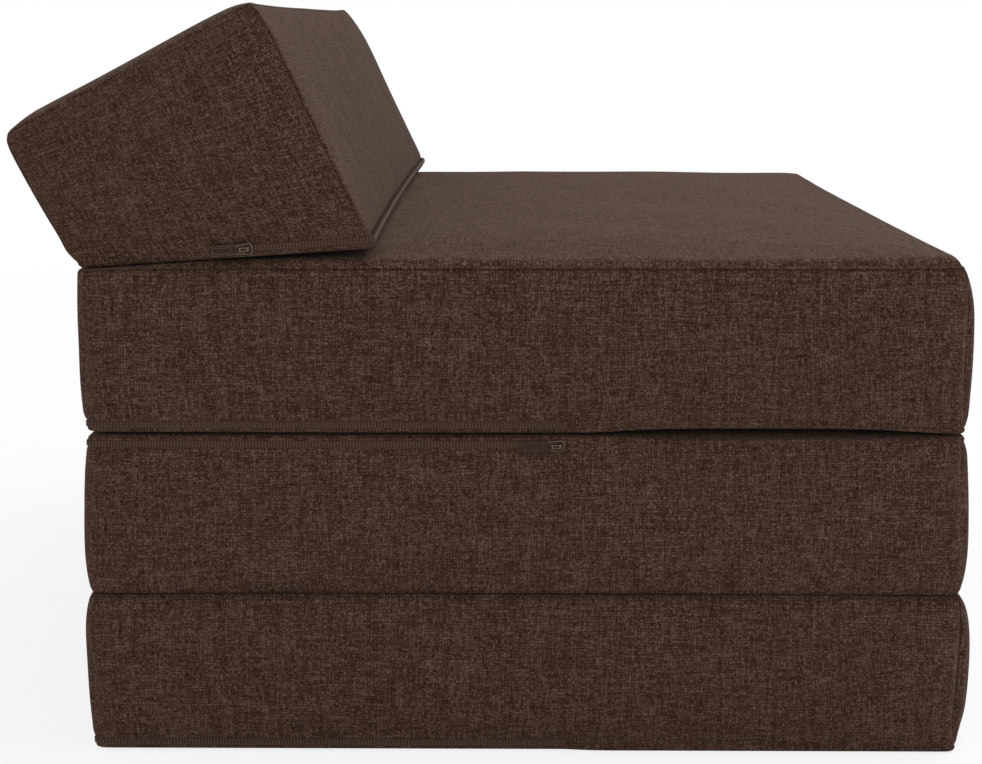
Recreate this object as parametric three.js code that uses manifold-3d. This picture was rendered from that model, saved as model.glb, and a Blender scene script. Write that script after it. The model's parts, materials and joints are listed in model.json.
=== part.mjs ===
// Folding sofa bed: three foam sections folded onto each other in a Z, and a wedge headrest on top.
// Millimetres, +Z up. +X runs from the headrest's side to the open side of the seat, and the front
// is at -Y. The origin is the middle of the lowest section's underside.

import * as THREE from 'three';
import { mergeVertices } from 'three/addons/utils/BufferGeometryUtils.js';
import Module from 'manifold-3d';

// The bed, folded
const sectionLength = 588; // seam to seam, along X
const bedWidth = 788; // seam to seam, along Y
const sectionPitch = 110; // from one section's underside to the next one's
const contactGap = 0.3; // between pieces that lie against each other
const cornerRadius = 14; // of the upright corners

// Cover
const coverThickness = 2;
const sideBulge = 6; // how far a side stands out between its two seams
const bulgeFullness = 2.6; // exponent of the bulge: higher is boxier
const cornerBulgeShare = 0.6; // part of the bulge that is left at an upright corner
const sideDrawIn = 2.5; // how far a seam is pulled in halfway between two corners
const edgeDrop = 1.5; // how far a plain panel rolls down to its seam
const edgeRoll = 20; // width of that roll
const drawInFade = 50; // distance from the seam at which its pull is gone
const hemHeight = 3.7; // the zipped panel's hem, turned up at the side
const hemRun = 4.5; // width over which the hem turns
const tightRadius = 3; // smallest corner radius of a line inside a panel

// Crown of the seat
const seatCrown = 14.5; // above the seat's top seam
const crownFullnessX = 8;
const crownFullnessY = 10;
const pressBlend = 1.2; // how softly the headrest's print runs out into the crown
const crownLines = [6, 20, 50, 110, 200]; // distances of the shaping lines from the seam

// Foam
const foamClearance = 1.5; // between the foam and the cover's sides

// Headrest, a wedge
const headrestBase = 192; // the panel that lies on the floor when the bed is open
const headrestThinEnd = 102;
const headrestThickEnd = 182;
const headrestLean = 8.5; // how far the thick end leans in
const headrestTilt = 4; // degrees: its slanted panel rests on the seat's crown
const headrestThinBulge = 2.5; // how far the thin end stands out
const headrestThickBulge = 5;
const headrestOverhang = 5; // its lower corner lies this far outside the seat's top seam
const headrestFoldDrop = 4; // the fold's line lies this far under the seat's top plane

// Zips: a coil chain on a tape, round one end of each cushion
const tapeThickness = 0.7;
const tapeBehindStrip = 4; // the tape's edge that is sewn behind the side strip
const tapeMargin = 0.9; // bare tape beside the chain
const chainWidth = 3.2;
const chainHeight = 1.2;
const chainSlope = 0.4;
const sectionZipEnd = 26; // where the chain ends on the front and the back, along X
const headrestZipEnd = 109; // the same, from the headrest's fold
const zipEndStep = 3; // the side strip steps down to the hem over this length

// Zip slider and pull tab
const sliderLength = 11;
const sliderWidth = 7.4;
const sliderTailWidth = 5.8;
const sliderPlate = 1.2;
const sliderFlange = 0.55; // the walls that straddle the chain
const sliderClearance = 0.3;
const sliderCorner = 1.4;
const bridgeOpening = 5; // length of the eye under the bridge
const bridgeHeight = 2.1; // height of that eye
const bridgeBar = 1;
const bridgeWidth = 2.4;
const pullLength = 24;
const pullWidth = 6.6;
const pullNeck = 5.2; // width at the eye
const pullThickness = 1.2;
const pullBar = 1; // the bar that lies in the bridge's eye
const pullWindow = 4.5; // from the bar's middle to the window's far end
const pullWindowWidth = 3.2;
const gripInset = 1.5; // raised rim of the grip
const gripDepth = 0.35;

// Folds: strips of cover fabric sewn to the seams
const flangeThickness = 1;
const flangeEndInset = 40; // a flange stops this far short of the corners
const foldClearance = 0.15; // from the fold's line to a flange
const seatFlangeTrim = 2; // the seat's left flange ends this far short of the seam

// Fineness of the surfaces
const endSegments = 6;
const cornerSegments = 4;
const sliderSegments = 5;
const pullSegments = 8;
const stripLevelShares = [0, 0.15, 0.38, 0.62, 0.85, 1];
const foamLevelShares = [0, 0.25, 0.75, 1];
const zippedRunShares = [0, 0.33, 0.67, 1];
const rollLines = [5, 20]; // distances of a plain panel's shaping lines from its seam
const roundingSlack = 1e-9;

const wasm = await Module();
wasm.setup();

const sectionHeight = sectionPitch - contactGap;
const zipStart = hemHeight + contactGap;
const zipTop = zipStart + chainWidth + 2 * tapeMargin;
const zipMiddle = (zipStart + zipTop) / 2;
const foldOffset = sectionLength / 2 + sideBulge + contactGap;
const seatTop = 3 * sectionPitch - contactGap;
const tilt = THREE.MathUtils.degToRad(headrestTilt);

const headrestRun = headrestBase - headrestLean;
const headrestRise = Math.sqrt(headrestThickEnd ** 2 - headrestLean ** 2) - headrestThinEnd;
const headrestSlant = Math.hypot(headrestRun, headrestRise);
const headrestAngle = Math.atan2(headrestRise, headrestRun);
const headrestCorner = new THREE.Vector3(
  -sectionLength / 2 - headrestOverhang,
  0,
  seatTop + 2 * contactGap,
);

// How far the side strip's lower edge stands proud of the zip's tape
const sliderReach = (2 * zipMiddle + sliderWidth) / sectionHeight;
const stripProud = sideBulge * (1 - Math.abs(sliderReach - 1) ** bulgeFullness);
const pullAxisOut = stripProud + sliderClearance + sliderPlate + bridgeHeight / 2;

const coverMaterial = { color: 0x4a3a30, roughness: 0.95, metalness: 0 };
const foamMaterial = { color: 0xe9e2cf, roughness: 1, metalness: 0 };
const zipMaterial = { color: 0x2c211c, roughness: 0.6, metalness: 0 };
const sliderMaterial = { color: 0x33271f, roughness: 0.45, metalness: 0.3 };

function mesh(name, geometry, material) {
  geometry.computeVertexNormals();
  const piece = new THREE.Mesh(geometry, new THREE.MeshStandardMaterial(material));
  piece.name = name;
  return piece;
}

function indexedGeometry(points, faces) {
  const geometry = new THREE.BufferGeometry();
  const coordinates = points.flatMap((point) => point.toArray());
  geometry.setAttribute('position', new THREE.Float32BufferAttribute(coordinates, 3));
  geometry.setIndex(faces.flat());
  return geometry;
}

// Two triangles for the corners a, b, c, d, parted along the shorter diagonal, so that two skins that
// lie against each other are parted alike
function quad(points, a, b, c, d) {
  const parted = points[a].distanceTo(points[c]) <= points[b].distanceTo(points[d]);
  if (parted) return [[a, b, c], [a, c, d]];
  return [[a, b, d], [b, c, d]];
}

// A closed skin through rings of equal counts, from the lower middle outwards and up to the upper middle
function ringLoft(lowerMiddle, rings, upperMiddle) {
  const count = rings[0].length;
  const points = [...rings.flat(), lowerMiddle, upperMiddle];
  const at = (ring, i) => ring * count + (i % count);
  const faces = [];
  for (let i = 0; i < count; i++) {
    faces.push([points.length - 2, at(0, i + 1), at(0, i)]);
    for (let ring = 0; ring < rings.length - 1; ring++) {
      faces.push(...quad(points, at(ring, i), at(ring, i + 1), at(ring + 1, i + 1), at(ring + 1, i)));
    }
    faces.push([points.length - 1, at(rings.length - 1, i), at(rings.length - 1, i + 1)]);
  }
  return indexedGeometry(points, faces);
}

// A closed band through columns, each a list of { outer, inner } points from its lower to its upper edge
function ribbon(columns) {
  const rows = columns[0].length;
  const points = columns.flatMap((column) => column.flatMap((pair) => [pair.outer, pair.inner]));
  const outer = (i, j) => (i * rows + j) * 2;
  const inner = (i, j) => (i * rows + j) * 2 + 1;
  const faces = [];
  const face = (...corners) => faces.push(...quad(points, ...corners));
  const last = columns.length - 1;
  for (let i = 0; i < last; i++) {
    for (let j = 0; j < rows - 1; j++) {
      face(outer(i, j), outer(i + 1, j), outer(i + 1, j + 1), outer(i, j + 1));
      face(inner(i, j), inner(i, j + 1), inner(i + 1, j + 1), inner(i + 1, j));
    }
    face(outer(i, 0), inner(i, 0), inner(i + 1, 0), outer(i + 1, 0));
    face(outer(i, rows - 1), outer(i + 1, rows - 1), inner(i + 1, rows - 1), inner(i, rows - 1));
  }
  for (let j = 0; j < rows - 1; j++) {
    face(outer(0, j), outer(0, j + 1), inner(0, j + 1), inner(0, j));
    face(outer(last, j), inner(last, j), inner(last, j + 1), outer(last, j + 1));
  }
  return indexedGeometry(points, faces);
}

function toSolid(geometry) {
  const bare = geometry.clone();
  bare.deleteAttribute('normal');
  bare.deleteAttribute('uv');
  const merged = mergeVertices(bare);
  return new wasm.Manifold(new wasm.Mesh({
    numProp: 3,
    vertProperties: merged.attributes.position.array,
    triVerts: Uint32Array.from(merged.index.array),
  }));
}

function toGeometry(solid) {
  const { vertProperties, triVerts } = solid.getMesh();
  const geometry = new THREE.BufferGeometry();
  geometry.setAttribute('position', new THREE.BufferAttribute(vertProperties, 3));
  geometry.setIndex(new THREE.BufferAttribute(triVerts, 1));
  return geometry;
}

// A cushion is described in a frame of its own: its zipped panel lies in z = 0, its plain panel in the
// upper plane. 'zipSide' is the side along X of the end that the zip goes round.
// A level is the plan of one of the two panels, with the plane that it lies in.
function level(lowX, highX, lowZ, highZ) {
  const slope = (highZ - lowZ) / (highX - lowX);
  return {
    middle: (lowX + highX) / 2,
    halfLength: (highX - lowX) / 2,
    slope,
    height: (x) => lowZ + slope * (x - lowX),
  };
}

const sectionCushion = {
  base: level(-sectionLength / 2, sectionLength / 2, 0, 0),
  top: level(-sectionLength / 2, sectionLength / 2, sectionHeight, sectionHeight),
  zipSide: -1,
  zipEnd: sectionZipEnd,
  bulges: { side: sideBulge, zippedEnd: sideBulge, plainEnd: sideBulge },
  names: {
    base: 'floor_panel',
    top: 'sleeping_panel',
    zippedEnd: 'left_end_strip',
    plainEnd: 'right_end_strip',
  },
};

const headrestThinRun = headrestThinEnd * Math.sin(headrestAngle);
const headrestThinTop = headrestThinEnd * Math.cos(headrestAngle);
const headrestCushion = {
  base: level(0, headrestSlant, 0, 0),
  top: level(
    -headrestThinRun,
    -headrestThinRun + headrestBase * Math.cos(headrestAngle),
    headrestThinTop,
    headrestThinTop + headrestBase * Math.sin(headrestAngle),
  ),
  zipSide: 1,
  zipEnd: headrestZipEnd,
  bulges: { side: sideBulge, zippedEnd: headrestThickBulge, plainEnd: headrestThinBulge },
  names: {
    base: 'sleeping_panel',
    top: 'floor_panel',
    zippedEnd: 'thick_end_strip',
    plainEnd: 'thin_end_strip',
  },
};

// Where the straight of a front or back side is divided, along X, from low to high
function straightMarks(cushion) {
  const { middle, halfLength } = cushion.base;
  const reach = halfLength - cornerRadius;
  const zippedX = middle + cushion.zipSide * reach;
  const plainX = middle - cushion.zipSide * reach;
  const seamX = cushion.zipEnd - cushion.zipSide * zipEndStep;
  const marks = [
    ...zippedRunShares.map((share) => zippedX + (cushion.zipEnd - zippedX) * share),
    seamX,
    (seamX + plainX) / 2,
    plainX,
  ];
  marks.sort((a, b) => a - b);
  return marks.map((x) => (x - middle + reach) / (2 * reach));
}

// The four sides in turn, anticlockwise from the plain end, so that the zip's run is unbroken
function sidesOf(cushion) {
  const kinds = ['plainEnd', 'side', 'zippedEnd', 'side'];
  const first = cushion.zipSide < 0 ? 0 : Math.PI;
  return kinds.map((kind, i) => ({ kind, turn: (first + (i * Math.PI) / 2) % (2 * Math.PI) }));
}

// The zip's end as a share of the way from one end of a straight side, -1, to the other, 1
function zipEndPlace(cushion) {
  const { middle, halfLength } = cushion.base;
  return (cushion.zipEnd - middle) / (halfLength - cornerRadius);
}

// Places round the plan, along one side from the middle of one corner to the middle of the next
function sideStations(cushion, side, cornerGap = 0) {
  const corner = (angle) => ({ a: Math.sign(Math.cos(angle)), b: Math.sign(Math.sin(angle)) });
  const start = corner(side.turn - Math.PI / 4);
  const end = corner(side.turn + Math.PI / 4);
  const half = cornerSegments / 2;
  const gapAngle = cornerGap / 2 / cornerRadius;
  const sweep = Math.PI / 4 - gapAngle;
  const straight = side.kind === 'side';
  const zipShare = zipEndPlace(cushion) * cushion.zipSide - roundingSlack;
  const isZipped = (a) => side.kind === 'zippedEnd' || (straight && a * cushion.zipSide >= zipShare);
  let shares = Array.from({ length: endSegments + 1 }, (_, i) => i / endSegments);
  if (straight) {
    shares = straightMarks(cushion);
    if (end.a < start.a) shares = shares.map((share) => 1 - share).reverse();
  }
  const atCorner = (place, angle, share) => ({
    ...place,
    angle,
    share,
    kind: side.kind,
    zipped: isZipped(place.a),
  });
  const stations = [];
  for (let i = 0; i < half; i++) {
    stations.push(atCorner(start, side.turn - sweep + (sweep * i) / half, 0));
  }
  for (const share of shares) {
    const a = start.a + (end.a - start.a) * share;
    const b = start.b + (end.b - start.b) * share;
    stations.push({ a, b, angle: side.turn, share, kind: side.kind, zipped: isZipped(a) });
  }
  for (let i = 1; i <= half; i++) {
    stations.push(atCorner(end, side.turn + (sweep * i) / half, 1));
  }
  return stations;
}

// All places round the plan, once each
function loopStations(cushion) {
  return sidesOf(cushion).flatMap((side) => sideStations(cushion, side).slice(0, -1));
}

// A point of a level's outline, 'inset' inside it
function outlinePoint(plan, station, inset) {
  const radius = Math.max(cornerRadius - inset, tightRadius);
  const shrink = inset - (cornerRadius - radius);
  const reachX = plan.halfLength - cornerRadius - shrink;
  const reachY = bedWidth / 2 - cornerRadius - shrink;
  const x = plan.middle + station.a * reachX + radius * Math.cos(station.angle);
  const y = station.b * reachY + radius * Math.sin(station.angle);
  return new THREE.Vector3(x, y, plan.height(x));
}

// The way out of a side, along the plane between the two panels' planes
function outwards(cushion, station, levelShare) {
  const cosine = Math.cos(station.angle);
  return new THREE.Vector3(cosine, Math.sin(station.angle), cosine * cushion.top.slope * levelShare);
}

// How far a seam is pulled in at a station. The zipped seam stays straight along the front and back.
function drawIn(station, levelShare) {
  const along = 4 * station.share * (1 - station.share);
  const held = station.kind === 'side' ? levelShare : 1;
  return sideDrawIn * along * held;
}

function edgeVector(cushion, station, inset = 0) {
  return outlinePoint(cushion.top, station, inset).sub(outlinePoint(cushion.base, station, inset));
}

// How far the side's skin stands out from the line between its seams
function bulgeAt(cushion, station, height) {
  const { side, zippedEnd, plainEnd } = cushion.bulges;
  const towardsEnd = Math.cos(station.angle);
  const end = towardsEnd * cushion.zipSide > 0 ? zippedEnd : plainEnd;
  const full = side + (end - side) * towardsEnd ** 2;
  const share = height / edgeVector(cushion, station).z;
  const fullness = 1 - Math.abs(2 * share - 1) ** bulgeFullness;
  const cornerness = Math.abs(Math.sin(2 * station.angle));
  return full * fullness * (1 - (1 - cornerBulgeShare) * cornerness);
}

// A point 'height' above the zipped panel's plane and 'out' in front of the line between the seams
function sidePoint(cushion, station, height, out) {
  const edge = edgeVector(cushion, station);
  const share = height / edge.z;
  return outlinePoint(cushion.base, station, 0)
    .addScaledVector(edge, share)
    .addScaledVector(outwards(cushion, station, share), out - drawIn(station, share));
}

function skinPoint(cushion, station, height, out) {
  return sidePoint(cushion, station, height, bulgeAt(cushion, station, height) + out);
}

// A ring of a panel, 'inset' from its seam and as deep under its plane, along the sides' edges, as
// 'depthAt' says
function panelRing(cushion, plan, inset, depthAt) {
  const levelShare = plan === cushion.top ? 1 : 0;
  return loopStations(cushion).map((station) => {
    const point = outlinePoint(plan, station, inset);
    const sunk = depthAt(point, inset);
    const pulled = drawIn(station, levelShare) * Math.max(0, 1 - inset / drawInFade);
    const edge = edgeVector(cushion, station, inset);
    return point
      .addScaledVector(edge, levelShare ? -sunk / edge.length() : sunk / edge.z)
      .addScaledVector(outwards(cushion, station, levelShare), -pulled);
  });
}

function panelMiddle(plan, depth) {
  return new THREE.Vector3(plan.middle, 0, plan.height(plan.middle) + depth);
}

// The seat's skin over its top plane: crowned, and pressed down where the headrest rests on it
function seatRise(point) {
  const u = Math.abs(point.x) / (sectionLength / 2);
  const v = Math.abs(point.y) / (bedWidth / 2);
  const fullness = (1 - Math.min(u, 1) ** crownFullnessX) * (1 - Math.min(v, 1) ** crownFullnessY);
  const crown = seatCrown * fullness - edgeDrop;
  const pressed = (point.x - headrestCorner.x) * Math.tan(tilt);
  const rise = -pressBlend * Math.log(Math.exp(-crown / pressBlend) + Math.exp(-pressed / pressBlend));
  return Math.max(rise, -edgeDrop);
}

// How deep a cushion's plain panel lies under its plane
function topDepth(cushion) {
  if (cushion.crowned) return (point) => -seatRise(point);
  return (point, inset) => edgeDrop * Math.max(0, 1 - inset / edgeRoll) ** 2;
}

// The panel that the zip opens: flat, with its edge turned up into a hem
function zippedPanel(cushion) {
  const plan = cushion.base;
  const hem = (turn, skin) => panelRing(
    cushion,
    plan,
    skin + (hemRun - skin) * (1 - Math.cos(turn)),
    () => skin + (hemHeight - skin) * (1 - Math.sin(turn)),
  );
  const rings = [
    hem(Math.PI / 2, 0),
    hem(Math.PI / 4, 0),
    hem(0, 0),
    hem(0, coverThickness),
    hem(Math.PI / 2, coverThickness),
  ];
  return ringLoft(panelMiddle(plan, 0), rings, panelMiddle(plan, coverThickness));
}

// The panel that is sewn all round: rolled down to its seam, and crowned on the seat
function plainPanel(cushion) {
  const plan = cushion.top;
  const lines = cushion.crowned ? crownLines : rollLines;
  const depth = topDepth(cushion);
  const ring = (inset, skin) => panelRing(cushion, plan, inset, (point) => depth(point, inset) + skin);
  const outerMiddle = panelMiddle(plan, 0);
  outerMiddle.z -= depth(outerMiddle, Math.max(...lines));
  const innerMiddle = outerMiddle.clone().setZ(outerMiddle.z - coverThickness);
  const rings = [
    ...lines.slice(1).reverse().map((inset) => ring(inset, coverThickness)),
    ring(0, coverThickness),
    ring(0, 0),
    ...lines.map((inset) => ring(inset, 0)),
  ];
  return ringLoft(innerMiddle, rings, outerMiddle);
}

function stripBottom(station) {
  return station.zipped ? zipTop + contactGap : zipStart;
}

// The tape runs behind the side strip's lower edge
function tapeOut(cushion, station) {
  return bulgeAt(cushion, station, zipTop + contactGap) - coverThickness - contactGap;
}

// The height of a side at 'depth' under the plain panel's plane
function heightUnderTop(cushion, station, depth) {
  const edge = edgeVector(cushion, station);
  return edge.z * (1 - depth / edge.length());
}

// A side strip of the cover, from corner seam to corner seam
function sideStrip(cushion, side) {
  const columns = sideStations(cushion, side, contactGap).map((station) => {
    const bottom = stripBottom(station);
    const top = heightUnderTop(cushion, station, edgeDrop + coverThickness + contactGap);
    return stripLevelShares.map((share) => {
      const height = bottom + (top - bottom) * share;
      return {
        outer: skinPoint(cushion, station, height, 0),
        inner: skinPoint(cushion, station, height, -coverThickness),
      };
    });
  });
  return ribbon(columns);
}

// The zip: a tape with its chain standing on it, in one run round the zipped end
function zipBand(cushion) {
  const chainStart = zipStart + tapeMargin;
  const chainEnd = chainStart + chainWidth;
  const profile = [
    [zipStart, 0],
    [chainStart, 0],
    [chainStart + chainSlope, chainHeight],
    [chainEnd - chainSlope, chainHeight],
    [chainEnd, 0],
    [zipTop + tapeBehindStrip, 0],
  ];
  const stations = loopStations(cushion).filter((station) => station.zipped);
  return ribbon(stations.map((station) => profile.map(([height, out]) => ({
    outer: sidePoint(cushion, station, height, tapeOut(cushion, station) + out),
    inner: sidePoint(cushion, station, height, tapeOut(cushion, station) - tapeThickness),
  }))));
}

function foamCore(cushion) {
  const gap = coverThickness + foamClearance;
  const underCover = coverThickness + contactGap;
  const stations = loopStations(cushion);
  const sides = foamLevelShares.map((share) => stations.map((station) => {
    const top = heightUnderTop(cushion, station, underCover + edgeDrop);
    return skinPoint(cushion, station, hemHeight + (top - hemHeight) * share, -gap);
  }));
  const lines = (cushion.crowned ? crownLines : rollLines).slice(1);
  const depth = topDepth(cushion);
  const upper = lines.map((inset) => (
    panelRing(cushion, cushion.top, inset, (point) => depth(point, inset) + underCover)
  ));
  const lower = panelRing(cushion, cushion.base, hemRun + gap, () => underCover);
  const upperMiddle = panelMiddle(cushion.top, 0);
  upperMiddle.z -= depth(upperMiddle, Math.max(...lines)) + underCover;
  return ringLoft(panelMiddle(cushion.base, underCover), [lower, ...sides, ...upper], upperMiddle);
}

// The slider straddles the chain. Its frame: x along the chain, -y outwards, z across, y = 0 at the tape.
function sliderGeometry() {
  const plateFoot = stripProud + sliderClearance;
  const plate = new THREE.Shape();
  const half = sliderLength / 2;
  const tail = sliderTailWidth / 2;
  const nose = sliderWidth / 2;
  plate.moveTo(-half, -tail);
  plate.lineTo(half - 2 * sliderCorner, -nose);
  plate.quadraticCurveTo(half, -nose, half, 0);
  plate.quadraticCurveTo(half, nose, half - 2 * sliderCorner, nose);
  plate.lineTo(-half, tail);
  plate.closePath();
  const plateGeometry = new THREE.ExtrudeGeometry(plate, {
    depth: sliderPlate,
    bevelEnabled: false,
    curveSegments: sliderSegments,
  });
  plateGeometry.rotateX(Math.PI / 2).translate(0, -plateFoot, 0);

  const wallInside = chainWidth / 2 + sliderClearance;
  const wallHeight = plateFoot + sliderPlate / 2 - sliderClearance;
  const wall = new THREE.BoxGeometry(sliderLength - 2 * sliderCorner, wallHeight, sliderFlange);
  const walls = [-1, 1].map((sign) => wall.clone().translate(
    -sliderCorner / 2,
    -sliderClearance - wallHeight / 2,
    sign * (wallInside + sliderFlange / 2),
  ));

  const foot = plateFoot + sliderPlate;
  const eye = bridgeOpening / 2;
  const bridge = new THREE.Shape();
  bridge.moveTo(-eye - bridgeBar, -sliderPlate / 2);
  bridge.lineTo(-eye, -sliderPlate / 2);
  bridge.lineTo(-eye, bridgeHeight);
  bridge.lineTo(eye, bridgeHeight);
  bridge.lineTo(eye, -sliderPlate / 2);
  bridge.lineTo(eye + bridgeBar, -sliderPlate / 2);
  bridge.lineTo(eye + bridgeBar, bridgeHeight);
  bridge.lineTo(eye, bridgeHeight + bridgeBar);
  bridge.lineTo(-eye, bridgeHeight + bridgeBar);
  bridge.lineTo(-eye - bridgeBar, bridgeHeight);
  bridge.closePath();
  const bridgeGeometry = new THREE.ExtrudeGeometry(bridge, { depth: bridgeWidth, bevelEnabled: false });
  bridgeGeometry.translate(0, 0, -bridgeWidth / 2).rotateX(Math.PI).translate(0, -foot, 0);

  const solids = [plateGeometry, ...walls, bridgeGeometry].map(toSolid);
  return toGeometry(solids.reduce((sum, solid) => sum.add(solid)));
}

// The pull tab points to -x, and its bar's middle is the origin
function pullGeometry() {
  const outline = new THREE.Shape();
  const neck = pullNeck / 2;
  const wide = pullWidth / 2;
  const end = -pullLength + wide;
  outline.moveTo(pullBar / 2, -neck);
  outline.lineTo(pullBar / 2, neck);
  outline.lineTo(-pullWindow - pullBar, neck);
  outline.lineTo(-pullWindow - pullBar - wide, wide);
  outline.lineTo(end, wide);
  outline.absarc(end, 0, wide, Math.PI / 2, (3 * Math.PI) / 2);
  outline.lineTo(-pullWindow - pullBar - wide, -wide);
  outline.lineTo(-pullWindow - pullBar, -neck);
  outline.closePath();
  const window = new THREE.Path();
  window.moveTo(-pullBar / 2, -pullWindowWidth / 2);
  window.lineTo(-pullWindow, -pullWindowWidth / 2);
  window.lineTo(-pullWindow, pullWindowWidth / 2);
  window.lineTo(-pullBar / 2, pullWindowWidth / 2);
  window.closePath();
  outline.holes.push(window);
  const tab = new THREE.ExtrudeGeometry(outline, {
    depth: pullThickness,
    bevelEnabled: false,
    curveSegments: pullSegments,
  });
  tab.translate(0, 0, -pullThickness / 2);

  const gripLength = pullLength - pullWindow - pullBar - wide - 2 * gripInset;
  const grip = new THREE.BoxGeometry(gripLength, pullWidth - 2 * gripInset, gripDepth * 2);
  const gripMiddle = -pullWindow - pullBar - wide / 2 - gripInset - gripLength / 2;
  const sunk = toSolid(grip.translate(gripMiddle, 0, pullThickness / 2));
  return toGeometry(toSolid(tab).subtract(sunk)).rotateX(Math.PI / 2);
}

// Slider and pull on a cushion's side at -Y or at +Y, centred at x. The pull points to -X.
function sliderAndPull(name, x, side) {
  const group = new THREE.Group();
  group.position.set(x, (side * bedWidth) / 2, zipMiddle);
  group.rotation.z = side < 0 ? 0 : Math.PI;
  const slider = mesh(`${name}_zip_slider`, sliderGeometry(), sliderMaterial);
  const pull = mesh(`${name}_zip_pull`, pullGeometry(), sliderMaterial);
  pull.position.y = -pullAxisOut;
  pull.rotation.y = group.rotation.z;
  slider.rotation.y = group.rotation.z;
  group.add(slider, pull);
  return group;
}

// A cushion with its zip, slider and pull. A flipped one is turned over, so that its back side comes
// to the front.
function cushionGroup(name, cushion, slider, flipped = false) {
  const group = new THREE.Group();
  const { names } = cushion;
  group.add(
    mesh(`${name}_foam`, foamCore(cushion), foamMaterial),
    mesh(`${name}_${names.base}`, zippedPanel(cushion), coverMaterial),
    mesh(`${name}_${names.top}`, plainPanel(cushion), coverMaterial),
    mesh(`${name}_zip`, zipBand(cushion), zipMaterial),
    sliderAndPull(name, slider.x, slider.side),
  );
  for (const side of sidesOf(cushion)) {
    const atFront = Math.sin(side.turn) < 0 !== flipped;
    const stripName = names[side.kind] ?? (atFront ? 'front_strip' : 'back_strip');
    group.add(mesh(`${name}_${stripName}`, sideStrip(cushion, side), coverMaterial));
  }
  if (flipped) group.rotation.x = Math.PI;
  return group;
}

// A flange of a fold: a strip along Y whose profile starts at the fold's line and runs to 'length' at
// 'angle', on one side of that line (1 or -1) or in its middle (0)
function foldFlange(name, foldX, foldZ, length, angle, side) {
  const profile = new THREE.Shape();
  const near = side * (foldClearance + flangeThickness / 2) - flangeThickness / 2;
  const start = foldClearance + (side === 0 ? flangeThickness / 2 : 0);
  profile.moveTo(start, near);
  profile.lineTo(length, near);
  profile.lineTo(length, near + flangeThickness);
  profile.lineTo(start, near + flangeThickness);
  profile.closePath();
  const depth = bedWidth - 2 * flangeEndInset;
  const strip = new THREE.ExtrudeGeometry(profile, { depth, bevelEnabled: false });
  strip.translate(0, 0, -depth / 2).rotateX(Math.PI / 2);
  const piece = mesh(name, strip, coverMaterial);
  piece.rotation.y = -angle;
  piece.position.set(foldX, 0, foldZ);
  return piece;
}

const sofaBed = new THREE.Group();
const sectionSlider = { x: sectionZipEnd - sliderLength / 2, side: 1 };
const headrestSlider = { x: headrestZipEnd + sliderLength / 2, side: -1 };

const lower = cushionGroup('lower', sectionCushion, sectionSlider);

const middle = cushionGroup('middle', sectionCushion, sectionSlider, true);
middle.position.z = 2 * sectionPitch - contactGap;

const seat = cushionGroup('seat', { ...sectionCushion, crowned: true }, sectionSlider);
seat.position.z = 2 * sectionPitch;

const headrest = cushionGroup('headrest', headrestCushion, headrestSlider);
headrest.position.copy(headrestCorner);
headrest.rotation.y = -tilt;

// Folds: lower to middle at the left, middle to seat at the right, seat to headrest at the left.
// At the right the flanges reach in to the turn of the hems.
const flangeReach = foldOffset - sectionLength / 2;
const flangeDepth = flangeThickness + foldClearance - contactGap / 2;
const hemTurn = hemRun * (1 - Math.cos(Math.asin(1 - flangeDepth / hemHeight)));
const hemFlangeReach = flangeReach + hemTurn - contactGap;
const lowerFoldZ = sectionPitch - contactGap / 2;
const middleFoldZ = 2 * sectionPitch - contactGap / 2;
const headrestFoldZ = seatTop - headrestFoldDrop;
const seatFlangeReach = flangeReach - seatFlangeTrim;
const cornerRise = headrestCorner.z - headrestFoldZ;
const cornerRun = headrestCorner.x + foldOffset;
const cornerAngle = Math.atan2(cornerRise, cornerRun);
const cornerReach = Math.hypot(cornerRise, cornerRun);

sofaBed.add(
  lower,
  middle,
  seat,
  headrest,
  foldFlange('lower_fold_flange', -foldOffset, lowerFoldZ, flangeReach, 0, -1),
  foldFlange('middle_left_fold_flange', -foldOffset, lowerFoldZ, flangeReach, 0, 1),
  foldFlange('middle_right_fold_flange', foldOffset, middleFoldZ, hemFlangeReach, Math.PI, 1),
  foldFlange('seat_right_fold_flange', foldOffset, middleFoldZ, hemFlangeReach, Math.PI, -1),
  foldFlange('seat_left_fold_flange', -foldOffset, headrestFoldZ, seatFlangeReach, 0, -1),
  foldFlange('headrest_fold_flange', -foldOffset, headrestFoldZ, cornerReach, cornerAngle, 0),
);

export default sofaBed;
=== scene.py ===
import json
import math

import bmesh
import bpy
from mathutils import Matrix, Vector, noise

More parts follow.
